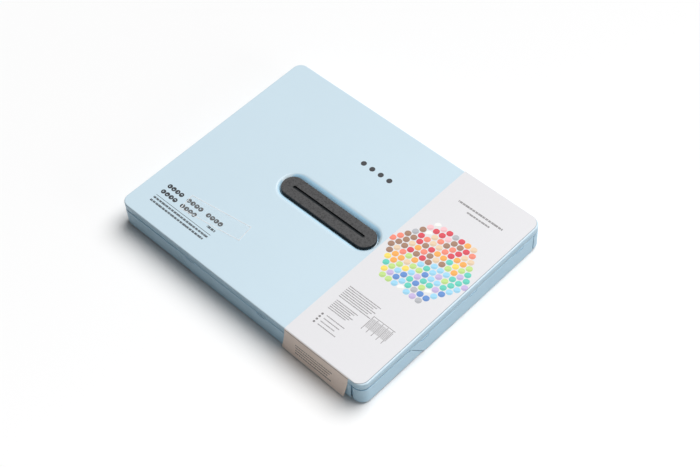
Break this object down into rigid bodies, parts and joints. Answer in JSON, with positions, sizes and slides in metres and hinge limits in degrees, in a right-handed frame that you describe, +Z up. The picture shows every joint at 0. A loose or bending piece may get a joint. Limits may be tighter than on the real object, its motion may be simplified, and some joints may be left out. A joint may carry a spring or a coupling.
{
  "type": "gouache paint set box",
  "caption": "Flat moulded storage box for gouache cups, with a lift-off lid, four hanging latch flaps, a pull-up carry grip in a dish and a card label over one end.",
  "frame": {"origin": "middle of the flat underside, on the table", "axes": "+X along the long side towards the end with the card label, +Y from the front to the back, +Z up"},
  "size_m": [0.4, 0.31, 0.0386],
  "materials": {
    "tray_plastic": "ice-blue moulded plastic, fine satin texture",
    "lid_plastic": "ice-blue moulded plastic, fine satin texture, polished edge",
    "latch_plastic": "ice-blue moulded plastic, fine satin texture",
    "silicone": "milky silicone",
    "rack_plastic": "white moulded plastic",
    "steel": "bright wire and turned screws",
    "grip_plastic": "black plastic, fine spark texture on the top",
    "post_metal": "turned aluminium",
    "card": "coated white card with a printed colour chart",
    "tape_film": "clear adhesive film",
    "cup_plastic": "white injection-moulded cups",
    "paint": "smooth wet gouache, one colour to a cup",
    "film": "thin clear heat-sealed film"
  },
  "bodies": {
    "base": {"base_tray": "tray_plastic", "cup_rack": "rack_plastic", "cup_row_1": "cup_plastic", "cup_row_2": "cup_plastic", "cup_row_3": "cup_plastic", "cup_row_4": "cup_plastic", "cup_row_5": "cup_plastic", "cup_row_6": "cup_plastic", "cup_row_7": "cup_plastic", "cup_row_8": "cup_plastic", "paint_row_1": "paint", "paint_row_2": "paint", "paint_row_3": "paint", "paint_row_4": "paint", "paint_row_5": "paint", "paint_row_6": "paint", "paint_row_7": "paint", "paint_row_8": "paint", "film_row_1": "film", "film_row_2": "film", "film_row_3": "film", "film_row_4": "film", "film_row_5": "film", "film_row_6": "film", "film_row_7": "film", "film_row_8": "film"},
    "lid": {"lid_shell": "lid_plastic", "lid_seal": "silicone", "card_top": "card", "clear_tape": "tape_film"},
    "front_latch": {"latch_front": "latch_plastic", "hinge_pin_front": "steel", "card_front": "card"},
    "right_latch": {"latch_right": "latch_plastic", "hinge_pin_right": "steel"},
    "back_latch": {"latch_back": "latch_plastic", "hinge_pin_back": "steel"},
    "left_latch": {"latch_left": "latch_plastic", "hinge_pin_left": "steel"},
    "carry_grip": {"grip": "grip_plastic", "grip_posts": "post_metal", "grip_washers": "steel", "grip_screws": "steel"}
  },
  "joints": [
    {"name": "lid_lift", "type": "slide", "parent": "base", "child": "lid", "axis": [0, 0, 1], "range_m": [0, 0.08]},
    {"name": "front_latch_hinge", "type": "hinge", "parent": "lid", "child": "front_latch", "pos_m": [0, -0.1525, 0.02525], "axis": [-1, 0, 0], "range_deg": [0, 95]},
    {"name": "right_latch_hinge", "type": "hinge", "parent": "lid", "child": "right_latch", "pos_m": [0.1985, 0, 0.02525], "axis": [0, -1, 0], "range_deg": [0, 95]},
    {"name": "back_latch_hinge", "type": "hinge", "parent": "lid", "child": "back_latch", "pos_m": [0, 0.1525, 0.02525], "axis": [1, 0, 0], "range_deg": [0, 95]},
    {"name": "left_latch_hinge", "type": "hinge", "parent": "lid", "child": "left_latch", "pos_m": [-0.1985, 0, 0.02525], "axis": [0, 1, 0], "range_deg": [0, 95]},
    {"name": "grip_lift", "type": "slide", "parent": "lid", "child": "carry_grip", "axis": [0, 0, 1], "range_m": [0, 0.009]}
  ]
}
